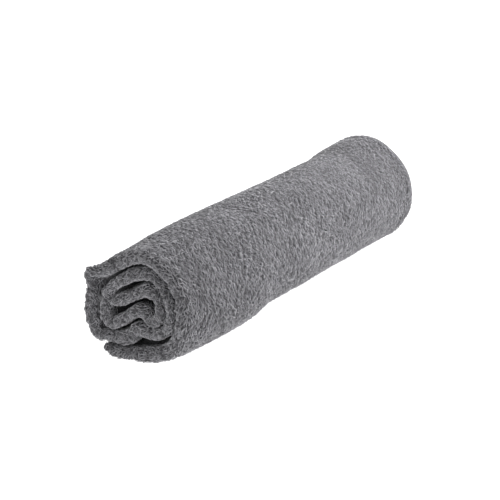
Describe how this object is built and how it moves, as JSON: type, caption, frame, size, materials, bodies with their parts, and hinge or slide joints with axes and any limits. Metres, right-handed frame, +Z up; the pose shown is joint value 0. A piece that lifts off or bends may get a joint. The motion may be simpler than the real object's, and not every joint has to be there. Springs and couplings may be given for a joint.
{
  "type": "rolled bath towel",
  "caption": "Terry bath towel folded in half both ways and rolled up, with its wound layers showing at both ends. Lies on a small flat underside.",
  "frame": {"origin": "on the surface under the middle of the roll, which is the bottom centre of its bounding box", "axes": "+X along the roll, from the end with the folded edges to the end with the selvedges; -Y is the front, with the fuller side; +Z up"},
  "size_m": [0.3532, 0.1063, 0.0942],
  "materials": {
    "terry": "matte mid-grey cotton terry with looped pile"
  },
  "bodies": {
    "root": {"towel_roll": "terry"}
  },
  "joints": []
}
